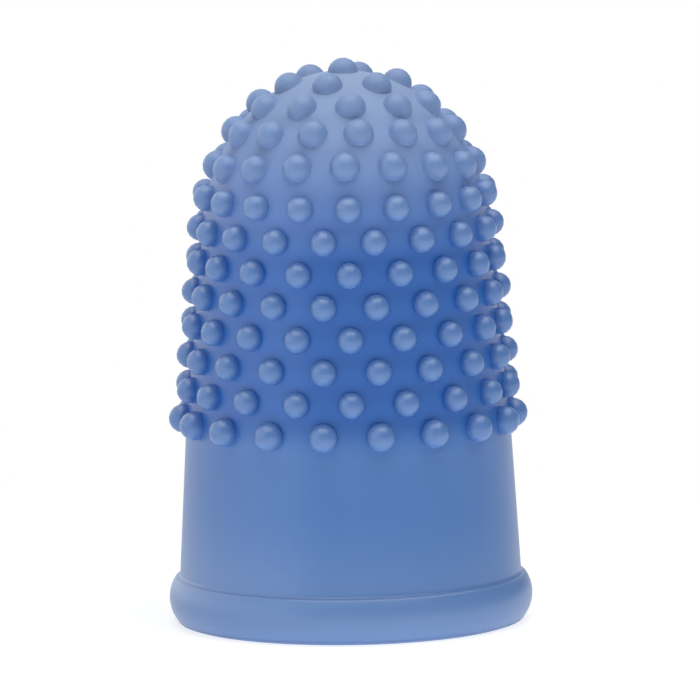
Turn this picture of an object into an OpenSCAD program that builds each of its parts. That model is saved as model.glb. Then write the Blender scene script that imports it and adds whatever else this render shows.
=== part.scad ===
// Rubber fingertip: a moulded thimble with a rolled rim, a smooth collar and a studded grip.
// It stands on its mouth. The origin is the centre of the mouth, +Z runs up to the tip,
// and -Y is the front.

/* [Finger bore] */
// Inside diameter of the rim and the collar
bore_d = 16.8; // [13:0.1:22]
// Bevel on the inner edge of the mouth
mouth_bevel = 0.4; // [0.1:0.1:0.8]

/* [Rim] */
// Thickness of the rolled rim, from the bore to its widest point
rim_t = 1.88; // [1.4:0.02:3]
// Height of the rolled rim
rim_h = 2.7; // [1.8:0.1:3.2]
// Height of the rim's widest point
rim_mid_h = 1.5; // [0.9:0.1:1.8]
// Radius of the rim's round outside
rim_round_r = 2; // [1.8:0.1:4]

/* [Collar] */
// Height of the smooth collar above the rim
collar_h = 7.9; // [4:0.1:14]
// Wall of the collar where it meets the rim
collar_base_t = 1.26; // [0.8:0.02:1.6]
// Wall of the collar at its top
collar_top_t = 0.82; // [0.5:0.02:1.4]

/* [Grip wall and dome] */
// Height of the grip wall, from the collar to the middle of the dome's ellipse
grip_h = 11.45; // [8:0.05:18]
// Inside diameter of the dome
dome_d = 14.05; // [10:0.05:18]
// Inside height of the dome, from the middle of its ellipse to the tip
dome_h = 8.25; // [5:0.05:12]
// Wall of the dome
dome_t = 1.05; // [0.6:0.05:1.6]

/* [Wall studs] */
// Rows of studs on the wall
row_count = 8; // [3:1:10]
// Studs in each row
row_studs = 18; // [10:1:24]
// Height of the first row above the collar
first_row_rise = 1.1; // [0.8:0.05:2]
// Height of the last row above the middle of the dome's ellipse
last_row_rise = 2.35; // [0:0.05:2.8]
// Diameter of a stud on the wall
stud_d = 1.5; // [0.8:0.05:1.9]
// Height of a stud on the wall
stud_h = 0.9; // [0.3:0.05:1.4]
// Diameter of a stud in the first row
base_stud_d = 1.6; // [0.8:0.05:2]
// Height of a stud in the first row
base_stud_h = 1.05; // [0.3:0.05:1.4]

/* [Dome studs] */
// Diameter of a stud on the dome
dome_stud_d = 1.75; // [0.8:0.05:2]
// Height of a stud on the dome
dome_stud_h = 0.75; // [0.3:0.05:1.4]
// Slope of the wall's normal at the sides of each ring of studs, in degrees above level
ring_tilts = [23, 36, 49, 64]; // [20:1:75]
// Degrees by which the rings arch upwards at the front and the back
ring_arch = 4; // [0:1:6]
// Studs in each ring
ring_studs = [16, 14, 10, 6]; // [3:1:20]
// Angle from the front to one stud of each ring, in degrees
ring_turns = [-1, 7, 4, -20]; // [-30:1:30]

/* [Hidden] */
rubber = "#4f78bd";
rubber_light = "#6f92cb";
front_angle = -90;
dome_steps = 16;
wall_facets = 128;
stud_facets = 64;

bore_r = bore_d / 2;
rim_r = bore_r + rim_t;
collar_base_r = bore_r + collar_base_t;
collar_top_r = bore_r + collar_top_t;
collar_top_z = rim_h + collar_h;

// The dome is half an ellipse turned about the axis, and the wall leaves it along its tangent.
dome_z = collar_top_z + grip_h;
inner_half_w = dome_d / 2;
outer_half_w = inner_half_w + dome_t;
outer_half_h = dome_h + dome_t;
tip_z = dome_z + outer_half_h;
inner_join = join_angle(bore_r, inner_half_w, dome_h);
outer_join = join_angle(collar_top_r, outer_half_w, outer_half_h);
outer_join_point = dome_point(outer_join, outer_half_w, outer_half_h);
wall_slope = (collar_top_r - outer_join_point.x) / (outer_join_point.y - collar_top_z);
row_pitch = (grip_h + last_row_rise - first_row_rise) / (row_count - 1);

// Point of a dome's outline at an angle of its ellipse, as radius and height
function dome_point(angle, half_w, half_h) = [half_w * cos(angle), dome_z + half_h * sin(angle)];

// Angle of the ellipse at which the straight wall from the collar's top touches it
function join_angle(start_r, half_w, half_h) =
    let (start = [start_r / half_w, -grip_h / half_h])
    atan2(start.y, start.x) + acos(1 / norm(start));

// Outline of a dome from where the wall joins it up to the axis
function dome_curve(join, half_w, half_h) =
    [for (step = [0 : dome_steps]) dome_point(join + (90 - join) * step / dome_steps, half_w, half_h)];

// The same outline from the axis back down to the wall
function reversed(points) = [for (i = [len(points) - 1 : -1 : 0]) points[i]];

// Angle of the outer ellipse at a height, and the slope of its normal there
function dome_angle(z) = asin((z - dome_z) / outer_half_h);
function dome_tilt(angle) = atan2(outer_half_w * sin(angle), outer_half_h * cos(angle));

// Where a row sits on the wall: radius, height and the slope of the normal
function row_seat(row) =
    let (z = collar_top_z + first_row_rise + (row - 1) * row_pitch)
    z > outer_join_point.y
        ? concat(dome_point(dome_angle(z), outer_half_w, outer_half_h), dome_tilt(dome_angle(z)))
        : [collar_top_r - wall_slope * (z - collar_top_z), z, atan(wall_slope)];

// Where a ring sits on the dome, from the slope of its normal
function ring_seat(tilt) =
    let (angle = atan2(outer_half_h * sin(tilt), outer_half_w * cos(tilt)))
    concat(dome_point(angle, outer_half_w, outer_half_h), tilt);

// Everything inside the outer surface above the rim, which the studs are trimmed against
module wall_core() {
    rotate_extrude($fn = wall_facets)
        polygon(concat(
            [[0, rim_h], [collar_base_r, rim_h], [collar_top_r, collar_top_z]],
            dome_curve(outer_join, outer_half_w, outer_half_h)
        ));
}

// One domed stud at a seat on the +X side: the part of a ball that stands out of the wall.
// The ball's pole points along the wall's normal, and the wall's seam is turned to the far side.
module stud(seat, d, h) {
    ball_r = (h * h + d * d / 4) / (2 * h);
    difference() {
        translate([seat[0], 0, seat[1]])
            rotate([0, 90 - seat[2], 0])
                translate([0, 0, h - ball_r])
                    sphere(r = ball_r, $fn = stud_facets);
        rotate([0, 0, 180])
            wall_core();
    }
}

// Studs evenly spaced round the axis
module stud_circle(seat, count, turn, d, h) {
    color(rubber_light)
        for (i = [0 : count - 1])
            rotate([0, 0, front_angle + turn + i * 360 / count])
                stud(seat, d, h);
}

module rolled_rim() {
    color(rubber)
        rotate_extrude($fn = wall_facets)
            intersection() {
                translate([rim_r - rim_round_r, rim_mid_h])
                    circle(r = rim_round_r, $fn = wall_facets);
                polygon([
                    [bore_r + mouth_bevel, 0],
                    [rim_r + rim_t, 0],
                    [rim_r + rim_t, rim_h],
                    [bore_r, rim_h],
                    [bore_r, mouth_bevel]
                ]);
            }
}

module collar() {
    color(rubber)
        rotate_extrude($fn = wall_facets)
            polygon([
                [bore_r, rim_h],
                [collar_base_r, rim_h],
                [collar_top_r, collar_top_z],
                [bore_r, collar_top_z]
            ]);
}

module grip_wall() {
    color(rubber)
        rotate_extrude($fn = wall_facets)
            polygon([
                [bore_r, collar_top_z],
                [collar_top_r, collar_top_z],
                outer_join_point,
                dome_point(inner_join, inner_half_w, dome_h)
            ]);
}

module dome_cap() {
    color(rubber)
        rotate_extrude($fn = wall_facets)
            polygon(concat(
                dome_curve(outer_join, outer_half_w, outer_half_h),
                reversed(dome_curve(inner_join, inner_half_w, dome_h))
            ));
}

// A row of studs on the wall. Odd rows straddle the front, even rows have a stud on it.
module stud_row(row) {
    half_step = 180 / row_studs;
    turn = row % 2 == 1 ? half_step : 0;
    d = row == 1 ? base_stud_d : stud_d;
    h = row == 1 ? base_stud_h : stud_h;
    stud_circle(row_seat(row), row_studs, turn, d, h);
}

// A ring of studs on the dome. Each stud has a seat of its own, because the ring arches.
module dome_ring(ring) {
    count = ring_studs[ring - 1];
    color(rubber_light)
        for (i = [0 : count - 1]) {
            turn = ring_turns[ring - 1] + i * 360 / count;
            tilt = ring_tilts[ring - 1] + ring_arch * pow(cos(turn), 2);
            rotate([0, 0, front_angle + turn])
                stud(ring_seat(tilt), dome_stud_d, dome_stud_h);
        }
}

module tip_stud() {
    stud_circle([0, tip_z, 90], 1, 0, dome_stud_d, dome_stud_h);
}

rolled_rim();
collar();
grip_wall();
dome_cap();
for (row = [1 : row_count])
    stud_row(row);
for (ring = [1 : len(ring_tilts)])
    dome_ring(ring);
tip_stud();
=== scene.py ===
# Rubber fingertip, standing on its mouth: a moulded thimble with a rolled rim, a smooth collar and
# a studded grip. Metres; the origin is the centre of the mouth, +Z runs up to the tip, -Y is the front.
import math

import bmesh
import bpy
from mathutils import Matrix, Vector


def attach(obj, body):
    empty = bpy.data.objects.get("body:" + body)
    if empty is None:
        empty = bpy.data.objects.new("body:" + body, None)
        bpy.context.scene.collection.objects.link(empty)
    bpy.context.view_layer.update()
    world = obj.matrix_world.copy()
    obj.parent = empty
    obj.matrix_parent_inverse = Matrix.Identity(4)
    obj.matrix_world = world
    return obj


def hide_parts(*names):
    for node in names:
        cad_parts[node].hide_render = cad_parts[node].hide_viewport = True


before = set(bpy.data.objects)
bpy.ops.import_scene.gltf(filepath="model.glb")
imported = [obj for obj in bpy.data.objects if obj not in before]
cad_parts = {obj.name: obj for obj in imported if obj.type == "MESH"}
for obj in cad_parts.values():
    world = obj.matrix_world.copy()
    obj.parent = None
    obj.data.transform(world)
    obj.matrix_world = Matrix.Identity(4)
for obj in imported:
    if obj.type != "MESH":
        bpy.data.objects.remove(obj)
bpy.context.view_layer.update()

MM = 0.001

# Sizes of the moulding, as in the part's source
bore_r = 8.4 * MM
mouth_bevel = 0.4 * MM
rim_r = 10.28 * MM
rim_h = 2.7 * MM
rim_mid_h = 1.5 * MM
rim_round_r = 2.0 * MM
collar_base_r = 9.66 * MM
collar_top_r = 9.22 * MM
collar_top_z = 10.6 * MM
grip_h = 11.45 * MM
dome_inner_half_w = 7.025 * MM
dome_inner_half_h = 8.25 * MM
dome_wall = 1.05 * MM

row_count = 8
row_studs = 18
first_row_rise = 1.1 * MM
last_row_rise = 2.35 * MM
stud_d = 1.5 * MM
stud_h = 0.9 * MM
base_stud_d = 1.6 * MM
base_stud_h = 1.05 * MM
dome_stud_d = 1.75 * MM
dome_stud_h = 0.75 * MM
ring_tilts = [23, 36, 49, 64]
ring_arch = 4
ring_studs = [16, 14, 10, 6]
ring_turns = [-1, 7, 4, -20]

# Where the front lies, in degrees round the axis
front_angle = -90

# Small roundings of the rim
ledge_round = 0.14 * MM
foot_round = 0.3 * MM
mouth_round = 0.12 * MM

# The fillet at the collar's foot, and the point where it bends, as parts of its two sizes
collar_fillet_out = 0.1 * MM
collar_fillet_up = 0.22 * MM
FILLET_BEND_OUT, FILLET_BEND_UP = 0.3, 0.4

# How deep a stud is rooted in the wall, and the part of its height by which its painted crown light and its
# polish are full
stud_root = 0.1 * MM
crown_light_by = 0.35

# Fineness of the meshes: steps round an axis and along an arc
WALL_STEPS = 128
RIM_ARC_STEPS = 20
DOME_ARC_STEPS = 32
STUD_STEPS = 14
STUD_ARC_STEPS = 5

# Points nearer to each other than this are merged, and edges that bend more than this stay sharp
WELD = 0.0005 * MM
SHARP = math.radians(40)

# The dome is half an ellipse turned about the axis, and the wall leaves it along its tangent.
dome_half_w = dome_inner_half_w + dome_wall
dome_half_h = dome_inner_half_h + dome_wall
dome_z = collar_top_z + grip_h
tip_z = dome_z + dome_half_h
row_pitch = (grip_h + last_row_rise - first_row_rise) / (row_count - 1)

# Heights between which painted shade darkens the wall among the studs, painted top light pales the dome and
# painted floor light pales the rim, and the sizes of the clouds and the grain
stud_shade_from, stud_shade_to = collar_top_z + 0.1 * MM, collar_top_z + 2.0 * MM
top_light_from, top_light_to = dome_z - 0.5 * MM, tip_z + 0.5 * MM
floor_light_to = 8.0 * MM
cloud_size = 4.0 * MM
grain_size = 0.22 * MM
grain_depth = 0.02 * MM

# The part of the painted top light that the crowns keep, so that the dome's crowns stay darker, and the
# painted floor light at the mouth
CROWN_TOP_LIGHT = 0.5
RIM_FLOOR_LIGHT = 0.4

# Roughness of the plain rubber, of its crowns and of the dome towards its tip
PLAIN_ROUGH, CROWN_ROUGH, TIP_ROUGH = 0.36, 0.34, 0.8


def join_angle(start_r, half_w, half_h):
    """Angle of the ellipse at which the straight wall from the collar's top touches it."""
    across, up = start_r / half_w, -grip_h / half_h
    return math.atan2(up, across) + math.acos(1 / math.hypot(across, up))


outer_join = join_angle(collar_top_r, dome_half_w, dome_half_h)
inner_join = join_angle(bore_r, dome_inner_half_w, dome_inner_half_h)
outer_join_r = dome_half_w * math.cos(outer_join)
outer_join_z = dome_z + dome_half_h * math.sin(outer_join)
inner_join_r = dome_inner_half_w * math.cos(inner_join)
inner_join_z = dome_z + dome_inner_half_h * math.sin(inner_join)
wall_slope = (collar_top_r - outer_join_r) / (outer_join_z - collar_top_z)


def linear(hex_colour):
    """An sRGB hex colour as linear RGBA."""
    parts = [int(hex_colour[i:i + 2], 16) / 255 for i in (1, 3, 5)]
    return [p / 12.92 if p <= 0.04045 else ((p + 0.055) / 1.055) ** 2.4 for p in parts] + [1.0]


def add_node(tree, kind, inputs=None, **settings):
    """Adds a node to a tree with its settings, its values and its links."""
    made = tree.nodes.new(kind)
    for name, value in settings.items():
        setattr(made, name, value)
    for socket, value in (inputs or {}).items():
        if isinstance(value, bpy.types.NodeSocket):
            tree.links.new(value, made.inputs[socket])
        else:
            made.inputs[socket].default_value = value
    return made


def ramp(tree, value, start, end, low, high, course="SMOOTHSTEP"):
    """A value that runs from low to high while another runs from start to end."""
    return add_node(tree, "ShaderNodeMapRange", {
        "Value": value, "From Min": start, "From Max": end, "To Min": low, "To Max": high},
        interpolation_type=course).outputs["Result"]


def times(tree, a, b):
    """The product of two values."""
    return add_node(tree, "ShaderNodeMath", {0: a, 1: b}, operation="MULTIPLY").outputs[0]


def blend(tree, share, a, b):
    """A colour between two others."""
    mixed = add_node(tree, "ShaderNodeMix", {"Factor": share, "A": a, "B": b}, data_type="RGBA")
    return mixed.outputs["Result"]


def moulded_blue_rubber():
    """Pigmented rubber from a satin steel mould, smoother on the crowns of its studs and matt towards the
    dome's tip.
    Painted shade darkens the wall among the studs to a deep blue, painted light pales the studs' crowns,
    painted top light pales the dome, less so on its crowns, and painted floor light pales the rim. Faint
    clouds and a fine grain break the tone."""
    material = bpy.data.materials.new("moulded_blue_rubber")
    material.use_nodes = True
    tree = material.node_tree
    tree.nodes.clear()
    place = add_node(tree, "ShaderNodeTexCoord").outputs["Object"]
    height = add_node(tree, "ShaderNodeSeparateXYZ", {"Vector": place}).outputs["Z"]
    crown_light_and_polish = add_node(tree, "ShaderNodeAttribute", attribute_name="crown_light_and_polish").outputs["Fac"]
    # Painted shade among the studs, from just above the collar's top upwards
    painted_stud_shade = ramp(tree, height, stud_shade_from, stud_shade_to, 0.0, 1.0)
    # Painted top light: the dome paler towards its tip, less so on its crowns, which stay darker
    dome_top_light = ramp(tree, height, top_light_from, top_light_to, 0.0, 1.0, course="LINEAR")
    painted_top_light = times(tree, dome_top_light, ramp(tree, crown_light_and_polish, 0.0, 1.0, 1.0, CROWN_TOP_LIGHT))
    # Painted floor light: the rim and the collar's foot paler towards the mouth
    painted_floor_light = ramp(tree, height, 0.0, floor_light_to, RIM_FLOOR_LIGHT, 0.0)
    clouds = add_node(tree, "ShaderNodeTexNoise", {
        "Vector": place, "Scale": 1 / cloud_size, "Detail": 3.0, "Roughness": 0.55}).outputs["Fac"]
    grain = add_node(tree, "ShaderNodeTexNoise", {
        "Vector": place, "Scale": 1 / grain_size, "Detail": 2.0, "Roughness": 0.5}).outputs["Fac"]
    collar_blue = blend(tree, clouds, linear("#4774b4"), linear("#4e79b8"))
    # Painted shade: the deep blue of the wall among the studs
    painted_shade_blue = blend(tree, painted_stud_shade, collar_blue, linear("#2f67b5"))
    # Painted light pales the studs' crowns
    painted_crown_light_blue = blend(tree, crown_light_and_polish, painted_shade_blue, linear("#5a7fb8"))
    # Painted top light greys the dome
    top_lit_blue = blend(tree, painted_top_light, painted_crown_light_blue, linear("#98add0"))
    blue = blend(tree, painted_floor_light, top_lit_blue, linear("#8ca9d3"))
    relief = add_node(tree, "ShaderNodeBump", {"Height": grain, "Strength": 0.2, "Distance": grain_depth})
    satin_rough = ramp(tree, crown_light_and_polish, 0.0, 1.0, PLAIN_ROUGH, CROWN_ROUGH)
    surface = add_node(tree, "ShaderNodeBsdfPrincipled", {
        "Base Color": blue, "Roughness": ramp(tree, painted_top_light, 0.0, 1.0, satin_rough, TIP_ROUGH), "IOR": 1.55,
        "Normal": relief.outputs["Normal"]})
    add_node(tree, "ShaderNodeOutputMaterial", {"Surface": surface.outputs["BSDF"]})
    return material


rubber = moulded_blue_rubber()


def keep_piece(name, bm, node):
    """Welds and shades a moulded piece, and lets it stand for its node."""
    bmesh.ops.remove_doubles(bm, verts=bm.verts, dist=WELD)
    bmesh.ops.recalc_face_normals(bm, faces=bm.faces)
    for face in bm.faces:
        face.smooth = True
    for edge in bm.edges:
        edge.smooth = edge.calc_face_angle(0) < SHARP
    mesh = bpy.data.meshes.new(name)
    bm.to_mesh(mesh)
    bm.free()
    mesh.materials.append(rubber)
    piece = bpy.data.objects.new(name, mesh)
    bpy.context.scene.collection.objects.link(piece)
    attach(piece, "root")
    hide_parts(node)


def corner(bm, r, z):
    """A point of an outline, at a radius and a height."""
    return bm.verts.new((r, 0, z))


def arc(bm, start, centre, angle, steps):
    """Carries a point of an outline round a centre, and gives the point where it ends."""
    swept = bmesh.ops.spin(
        bm, geom=[start], cent=centre, axis=(0, -1, 0), angle=angle, steps=steps)
    return swept["geom_last"][0]


def chain(bm, *points):
    """Joins points of an outline in turn."""
    for a, b in zip(points, points[1:]):
        bm.edges.new((a, b))


def turn_outline(bm, steps):
    """Turns an outline all the way round the axis."""
    bmesh.ops.spin(
        bm, geom=bm.verts[:] + bm.edges[:], cent=(0, 0, 0), axis=(0, 0, 1),
        angle=2 * math.pi, steps=steps, use_merge=True)
    bmesh.ops.remove_doubles(bm, verts=bm.verts, dist=WELD)


def hoop(bm, r, z):
    """The edges of a wall that run round the axis at a radius and a height."""
    near = 0.01 * MM
    at = {v for v in bm.verts if abs(math.hypot(v.co.x, v.co.y) - r) < near and abs(v.co.z - z) < near}
    return [e for e in bm.edges if e.verts[0] in at and e.verts[1] in at]


def round_hoop(bm, r, z, size, segments):
    """Rounds a wall's edge at a radius and a height."""
    bmesh.ops.bevel(
        bm, geom=hoop(bm, r, z), offset=size, offset_type="OFFSET", affect="EDGES",
        segments=segments, profile=0.5, material=-1)


def rolled_rim():
    """The thick bead round the mouth, with a ledge under the collar."""
    bm = bmesh.new()
    round_centre = (rim_r - rim_round_r, 0, rim_mid_h)
    low = -math.asin(rim_mid_h / rim_round_r)
    high = math.asin((rim_h - rim_mid_h) / rim_round_r)
    foot_r = round_centre[0] + rim_round_r * math.cos(low)
    ledge_r = round_centre[0] + rim_round_r * math.cos(high)
    foot = corner(bm, foot_r, 0)
    ledge = arc(bm, foot, round_centre, high - low, RIM_ARC_STEPS)
    chain(
        bm, ledge, corner(bm, bore_r, rim_h), corner(bm, bore_r, mouth_bevel),
        corner(bm, bore_r + mouth_bevel, 0), foot)
    turn_outline(bm, WALL_STEPS)
    round_hoop(bm, ledge_r, rim_h, ledge_round, segments=3)
    round_hoop(bm, foot_r, 0, foot_round, segments=4)
    round_hoop(bm, bore_r, mouth_bevel, mouth_round, segments=2)
    round_hoop(bm, bore_r + mouth_bevel, 0, mouth_round, segments=2)
    keep_piece("moulded_rim", bm, "rolled_rim")


def collar():
    """The smooth band above the rim, with a small fillet where it rises from the ledge."""
    bm = bmesh.new()
    first = corner(bm, bore_r, rim_h)
    bend_r = collar_base_r + collar_fillet_out * FILLET_BEND_OUT
    bend_z = rim_h + collar_fillet_up * FILLET_BEND_UP
    chain(
        bm, first, corner(bm, collar_base_r + collar_fillet_out, rim_h), corner(bm, bend_r, bend_z),
        corner(bm, collar_base_r, rim_h + collar_fillet_up),
        corner(bm, collar_top_r, collar_top_z), corner(bm, bore_r, collar_top_z), first)
    turn_outline(bm, WALL_STEPS)
    keep_piece("moulded_collar", bm, "collar")


def grip_wall():
    """The tapered wall behind the studs."""
    bm = bmesh.new()
    first = corner(bm, bore_r, collar_top_z)
    chain(
        bm, first, corner(bm, collar_top_r, collar_top_z), corner(bm, outer_join_r, outer_join_z),
        corner(bm, inner_join_r, inner_join_z), first)
    turn_outline(bm, WALL_STEPS)
    keep_piece("moulded_grip_wall", bm, "grip_wall")


def dome_cap():
    """The domed end of the wall."""
    bm = bmesh.new()
    ends = []
    for join, half_w, half_h in (
            (outer_join, dome_half_w, dome_half_h), (inner_join, dome_inner_half_w, dome_inner_half_h)):
        low = corner(bm, math.cos(join), math.sin(join))
        before = set(bm.verts)
        arc(bm, low, (0, 0, 0), math.pi / 2 - join, DOME_ARC_STEPS)
        curve = [low] + [v for v in bm.verts if v not in before]
        bmesh.ops.scale(bm, verts=curve, vec=(half_w, 1, half_h))
        bmesh.ops.translate(bm, verts=curve, vec=(0, 0, dome_z))
        ends.append(low)
    chain(bm, *ends)
    turn_outline(bm, WALL_STEPS)
    keep_piece("moulded_dome", bm, "dome_cap")


def cone_seat(z):
    """Where a row sits on the straight wall: radius, height and the slope of the normal."""
    return collar_top_r - wall_slope * (z - collar_top_z), z, math.atan(wall_slope)


def dome_seat(angle):
    """The same on the dome, at an angle of its ellipse."""
    r = dome_half_w * math.cos(angle)
    z = dome_z + dome_half_h * math.sin(angle)
    return r, z, math.atan2(dome_half_w * math.sin(angle), dome_half_h * math.cos(angle))


def row_seat(row):
    """Where a row sits, on the straight wall or above it on the dome."""
    z = collar_top_z + first_row_rise + (row - 1) * row_pitch
    return cone_seat(z) if z < outer_join_z else dome_seat(math.asin((z - dome_z) / dome_half_h))


def ring_seat(tilt):
    """Where a ring sits on the dome, from the slope of its normal in degrees."""
    tilt = math.radians(tilt)
    return dome_seat(math.atan2(dome_half_h * math.sin(tilt), dome_half_w * math.cos(tilt)))


def stud_pattern(d, h):
    """One stud round the axis, standing on its wall: the cap of a ball, rooted a little in the wall."""
    bm = bmesh.new()
    crown_light_and_polish = bm.verts.layers.float.new("crown_light_and_polish")
    ball_r = (h ** 2 + d ** 2 / 4) / (2 * h)
    root_angle = math.acos((ball_r - h - stud_root) / ball_r)
    arc(bm, corner(bm, 0, h), (0, 0, h - ball_r), -root_angle, STUD_ARC_STEPS)
    # The crown's share, for its painted light and its polish, grows from the stud's foot
    for vert in bm.verts:
        vert[crown_light_and_polish] = min(1, max(0, vert.co.z / (crown_light_by * h)))
    turn_outline(bm, STUD_STEPS)
    bmesh.ops.holes_fill(bm, edges=bm.edges, sides=0)
    return bm


def studs(name, node, spots, d, h):
    """Studs at their seats and their turns from the front: copies of one pattern."""
    bm = stud_pattern(d, h)
    pattern = bm.verts[:] + bm.edges[:] + bm.faces[:]
    pattern_verts = bm.verts[:]
    for (r, z, tilt), turn in spots:
        copy = bmesh.ops.duplicate(bm, geom=pattern)["geom"]
        verts = [v for v in copy if isinstance(v, bmesh.types.BMVert)]
        lean = Matrix.Rotation(math.pi / 2 - tilt, 4, "Y")
        swing = Matrix.Rotation(math.radians(front_angle + turn), 4, "Z")
        spot = swing @ Matrix.Translation((r, 0, z)) @ lean
        bmesh.ops.transform(bm, matrix=spot, verts=verts)
    bmesh.ops.delete(bm, geom=pattern_verts, context="VERTS")
    keep_piece(name, bm, node)


def stud_row(row):
    """A row of studs on the wall. Odd rows straddle the front, even rows have a stud on it."""
    step = 360 / row_studs
    start = step / 2 if row % 2 else 0
    first = row == 1
    studs(
        f"moulded_studs_row_{row}", f"stud_row_{row}",
        [(row_seat(row), start + i * step) for i in range(row_studs)],
        base_stud_d if first else stud_d, base_stud_h if first else stud_h)


def dome_ring(ring, tilt, count, start):
    """A ring of studs on the dome, which arches upwards at the front and the back."""
    turns = [start + i * 360 / count for i in range(count)]
    spots = [(ring_seat(tilt + ring_arch * math.cos(math.radians(turn)) ** 2), turn) for turn in turns]
    studs(f"moulded_studs_ring_{ring}", f"dome_ring_{ring}", spots, dome_stud_d, dome_stud_h)


rolled_rim()
collar()
grip_wall()
dome_cap()
for row in range(1, row_count + 1):
    stud_row(row)
for ring, (tilt, count, start) in enumerate(zip(ring_tilts, ring_studs, ring_turns), 1):
    dome_ring(ring, tilt, count, start)
studs("moulded_stud_tip", "tip_stud", [(dome_seat(math.pi / 2), 0)], dome_stud_d, dome_stud_h)


# The middle of the object, which the lamps face and the camera's aim is measured from
middle = Vector((0, 0, 16 * MM))

# The tent's opening in front: how high it lies, how far out it is darkest, where it ends, and its level
OPENING_LIFT, OPENING_CORE, OPENING_EDGE = math.radians(10), math.radians(15), math.radians(42)
OPENING_LEVEL = 0.05

# The tent's level on the left and the right as it is mirrored, and the part of it that is soft light
LEFT_LEVEL, RIGHT_LEVEL = 2.0, 0.0
SOFT_SHARE = 0.04

# The paper's own light in front of the object and behind it, and how it runs out to plain white round it
FRONT_GLOW, BACK_GLOW = 0.85, 0.3
glow_from, glow_to = -30 * MM, 10 * MM
NEAR_WHITE = 0.6
shadow_from, shadow_to = 10 * MM, 60 * MM


def seen(tree):
    """One for a ray that shows the surface itself, straight or mirrored, and nought for soft light."""
    path = add_node(tree, "ShaderNodeLightPath")
    mirrored = add_node(tree, "ShaderNodeMath", {
        0: path.outputs["Is Glossy Ray"], 1: path.outputs["Is Transmission Ray"]}, operation="MAXIMUM")
    return add_node(tree, "ShaderNodeMath", {
        0: path.outputs["Is Camera Ray"], 1: mirrored.outputs[0]}, operation="MAXIMUM").outputs[0]


def lit_paper():
    """Matt white paper that glows with a light of its own, most of it in front: painted light from a floor
    that is no lamp, which lights the object from below. It carries the shadow near the object and runs out
    to plain white where it is seen."""
    material = bpy.data.materials.new("matt_white_paper")
    material.use_nodes = True
    tree = material.node_tree
    tree.nodes.clear()
    place = add_node(tree, "ShaderNodeTexCoord").outputs["Object"]
    away = add_node(tree, "ShaderNodeVectorMath", {0: place}, operation="LENGTH").outputs["Value"]
    plain = times(tree, ramp(tree, away, shadow_from, shadow_to, NEAR_WHITE, 1.0), seen(tree))
    matt = add_node(tree, "ShaderNodeBsdfDiffuse", {"Color": linear("#f7f7f7")})
    front_to_back = add_node(tree, "ShaderNodeSeparateXYZ", {"Vector": place}).outputs["Y"]
    level = ramp(tree, front_to_back, glow_from, glow_to, FRONT_GLOW, BACK_GLOW)
    # The paper glows, though it is no lamp, and lights the object from below
    glow = add_node(tree, "ShaderNodeEmission", {"Color": linear("#ffffff"), "Strength": level})
    lit = add_node(tree, "ShaderNodeAddShader", {0: matt.outputs[0], 1: glow.outputs[0]})
    white = add_node(tree, "ShaderNodeEmission", {"Color": linear("#ffffff"), "Strength": 1.0})
    both = add_node(tree, "ShaderNodeMixShader", {0: plain, 1: lit.outputs[0], 2: white.outputs[0]})
    add_node(tree, "ShaderNodeOutputMaterial", {"Surface": both.outputs[0]})
    return material


def paper_floor():
    """The wide sheet of paper that the fingertip stands on."""
    half_width = 1.5
    bm = bmesh.new()
    bmesh.ops.create_grid(bm, x_segments=1, y_segments=1, size=half_width)
    mesh = bpy.data.meshes.new("paper_floor")
    bm.to_mesh(mesh)
    bm.free()
    mesh.materials.append(lit_paper())
    floor = bpy.data.objects.new("paper_floor", mesh)
    bpy.context.scene.collection.objects.link(floor)


def white_tent():
    """A white tent, bright on the left and dark at its opening in front. It is plain white where it is seen
    straight, mirrored as it is, and gives a little soft light."""
    world = bpy.data.worlds.new("white_tent")
    world.use_nodes = True
    tree = world.node_tree
    tree.nodes.clear()
    way = add_node(tree, "ShaderNodeTexCoord").outputs["Generated"]
    across = add_node(tree, "ShaderNodeSeparateXYZ", {"Vector": way}).outputs["X"]
    opening = (0, -math.cos(OPENING_LIFT), math.sin(OPENING_LIFT))
    facing = add_node(tree, "ShaderNodeVectorMath", {0: way, 1: opening}, operation="DOT_PRODUCT")
    cloth = ramp(
        tree, facing.outputs["Value"], math.cos(OPENING_EDGE), math.cos(OPENING_CORE), 1.0, OPENING_LEVEL)
    tent = times(tree, cloth, ramp(tree, across, -1.0, 1.0, LEFT_LEVEL, RIGHT_LEVEL))
    path = add_node(tree, "ShaderNodeLightPath").outputs
    light = times(tree, tent, ramp(tree, path["Is Glossy Ray"], 0.0, 1.0, SOFT_SHARE, 1.0))
    straight = add_node(tree, "ShaderNodeMath", {
        0: path["Is Camera Ray"], 1: path["Is Transmission Ray"]}, operation="MAXIMUM").outputs[0]
    shown = add_node(tree, "ShaderNodeBackground", {
        "Color": linear("#ffffff"), "Strength": ramp(tree, straight, 0.0, 1.0, light, 1.0)})
    add_node(tree, "ShaderNodeOutputWorld", {"Surface": shown.outputs[0]})
    bpy.context.scene.world = world


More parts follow.
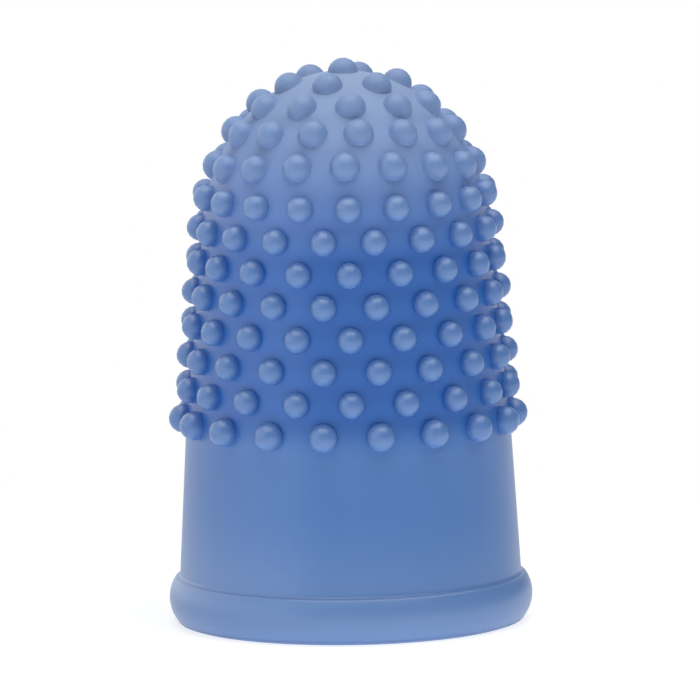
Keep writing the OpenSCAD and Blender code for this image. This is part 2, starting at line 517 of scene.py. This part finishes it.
def softbox(name, place, size, power, mirrored):
    """A square soft lamp of a power in watts, which faces the middle of the object. One that isn't mirrored
    leaves no spot of gloss."""
    lamp = bpy.data.lights.new(name, "AREA")
    lamp.size = size
    lamp.energy = power
    box = bpy.data.objects.new(name, lamp)
    box.location = place
    box.rotation_mode = "QUATERNION"
    box.rotation_quaternion = (middle - Vector(place)).to_track_quat("-Z", "Y")
    box.visible_camera = False
    box.visible_glossy = mirrored
    bpy.context.scene.collection.objects.link(box)


def photo_camera():
    """The photograph's view: a little above level, a touch to the left, and slightly rolled."""
    azimuth, elevation, roll = math.radians(-1.2), math.radians(7.85), math.radians(0.89)
    distance = 0.9
    pixel = 0.05657 * MM
    image_px, sensor_mm = 700, 36
    middle_left_px, middle_up_px = 2.88, 9.73
    back = Vector((
        math.sin(azimuth) * math.cos(elevation),
        -math.cos(azimuth) * math.cos(elevation),
        math.sin(elevation)))
    level_right = Vector((math.cos(azimuth), math.sin(azimuth), 0))
    level_up = back.cross(level_right)
    right = level_right * math.cos(roll) - level_up * math.sin(roll)
    up = level_up * math.cos(roll) + level_right * math.sin(roll)
    aim = middle + right * middle_left_px * pixel - up * middle_up_px * pixel
    lens = bpy.data.cameras.new("photo_camera")
    lens.sensor_width = sensor_mm
    lens.lens = sensor_mm * distance / (image_px * pixel)
    lens.clip_start, lens.clip_end = 0.05, 10
    camera = bpy.data.objects.new("photo_camera", lens)
    camera.rotation_mode = "QUATERNION"
    camera.rotation_quaternion = Matrix((right, up, back)).transposed().to_quaternion()
    camera.location = aim + back * distance
    bpy.context.scene.collection.objects.link(camera)
    bpy.context.scene.camera = camera


paper_floor()
white_tent()
softbox("top_softbox", place=(0.06, 0.0, 0.6), size=0.7, power=4.0, mirrored=True)
softbox("front_softbox", place=(-0.02, -0.65, 0.16), size=0.3, power=0.6, mirrored=False)
softbox("back_softbox", place=(0.0, 0.65, 0.16), size=0.3, power=1.0, mirrored=False)
photo_camera()
bpy.context.scene.view_settings.view_transform = "Standard"
